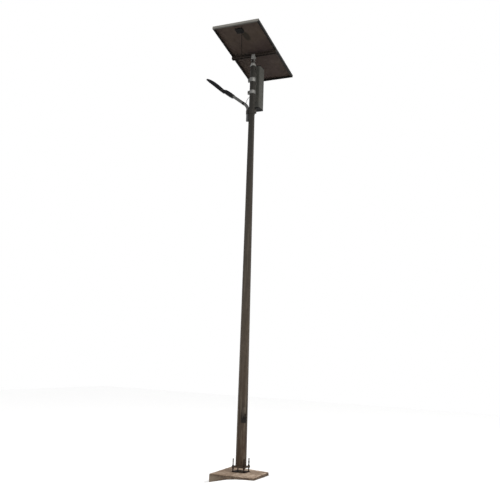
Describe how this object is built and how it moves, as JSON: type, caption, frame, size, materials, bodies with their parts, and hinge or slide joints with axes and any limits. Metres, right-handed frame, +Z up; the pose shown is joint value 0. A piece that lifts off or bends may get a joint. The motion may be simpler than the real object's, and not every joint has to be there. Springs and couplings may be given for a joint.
{
  "type": "solar street lamp",
  "caption": "Octagonal steel pole lamp on an anchored concrete pad, with a tilting solar panel, a strapped battery box and a lamp head on a bent pipe arm.",
  "frame": {"origin": "on the pole's axis, at the underside of the concrete pad", "axes": "+Z up the pole, +X along the panel's crossbar (the lamp arm points to -X), +Y down the panel's slope"},
  "size_m": [1.0432, 1.298, 5.9373],
  "materials": {
    "concrete": "rough cast, weathered",
    "anchor_steel": "bare steel with brown rust",
    "galvanised": "hot-dip galvanised, dull, dusty",
    "bright_zinc": "new bright zinc",
    "aluminium": "anodised satin",
    "box_coating": "grey powder coating",
    "lamp_casting": "dark grey powder coating on a casting",
    "black_plastic": "moulded",
    "cable_rubber": "matt sheath",
    "panel_glass": "tempered solar glass",
    "solar_cells": "cells in encapsulant with a backsheet",
    "lens_plastic": "clear moulded optic",
    "white_board": "insulating board and moulded case",
    "cell_pack": "shrink-wrapped cells"
  },
  "bodies": {
    "pole": {"foundation_block": "concrete", "anchor_template": "anchor_steel", "anchor_bolt_1": "anchor_steel", "anchor_bolt_2": "anchor_steel", "anchor_bolt_3": "anchor_steel", "anchor_bolt_4": "anchor_steel", "levelling_nut_1": "anchor_steel", "levelling_nut_2": "anchor_steel", "levelling_nut_3": "anchor_steel", "levelling_nut_4": "anchor_steel", "top_nut_1": "anchor_steel", "top_nut_2": "anchor_steel", "top_nut_3": "anchor_steel", "top_nut_4": "anchor_steel", "lock_nut": "anchor_steel", "base_flange": "galvanised", "pole_shaft": "galvanised", "door_hinge": "galvanised", "mounting_board": "white_board", "circuit_breaker": "white_board", "battery_rail": "galvanised", "clamp_lower": "bright_zinc", "clamp_upper": "bright_zinc", "clamp_bolt_lower": "galvanised", "clamp_bolt_upper": "galvanised", "battery_case": "box_coating", "battery_bottom_cap": "black_plastic", "battery_top_cap": "black_plastic", "battery_pack": "cell_pack", "charge_controller": "black_plastic", "battery_cable": "cable_rubber", "arm_clamp": "galvanised", "arm_pipe": "bright_zinc", "lamp_cable": "cable_rubber", "lamp_fitter": "lamp_casting", "driver_cover": "lamp_casting", "lamp_driver": "box_coating"},
    "door": {"access_door": "galvanised"},
    "lock": {"door_lock": "bright_zinc"},
    "lever": {"breaker_lever": "black_plastic"},
    "lamp": {"lamp_body": "lamp_casting", "led_board": "black_plastic", "lamp_lens": "lens_plastic"},
    "head": {"head_cap": "bright_zinc", "head_clevis": "bright_zinc", "pivot_bolt": "galvanised", "pivot_nut": "galvanised"},
    "panel": {"tilt_bracket": "bright_zinc", "bracket_bolt_1": "galvanised", "bracket_bolt_2": "galvanised", "crossbar": "aluminium", "frame_left": "aluminium", "frame_right": "aluminium", "frame_high": "aluminium", "frame_low": "aluminium", "panel_glass": "panel_glass", "cell_laminate": "solar_cells", "junction_box": "black_plastic", "panel_cable": "cable_rubber"}
  },
  "joints": [
    {"name": "head_swivel", "type": "hinge", "parent": "pole", "child": "head", "pos_m": [0, 0, 5.664], "axis": [0, 0, 1], "range_deg": [-40, 40]},
    {"name": "panel_tilt", "type": "hinge", "parent": "head", "child": "panel", "pos_m": [0, 0, 5.664], "axis": [-1, 0, 0], "range_deg": [-12, 23]},
    {"name": "lamp_tilt", "type": "hinge", "parent": "pole", "child": "lamp", "pos_m": [-0.44061, 0, 5.27131], "axis": [0, -1, 0], "range_deg": [-10, 25]},
    {"name": "door_swing", "type": "hinge", "parent": "pole", "child": "door", "pos_m": [0.02689, -0.06748, 0.83503], "axis": [0.0041, -0.0041, -1], "range_deg": [0, 100]},
    {"name": "lock_turn", "type": "hinge", "parent": "door", "child": "lock", "pos_m": [0.05638, -0.03799, 0.83503], "axis": [0.7071, -0.7071, 0.0059], "range_deg": [0, 90]},
    {"name": "breaker_toggle", "type": "hinge", "parent": "pole", "child": "lever", "pos_m": [0.01974, -0.03388, 0.85486], "axis": [0.7071, 0.7071, 0], "range_deg": [0, 70]}
  ]
}
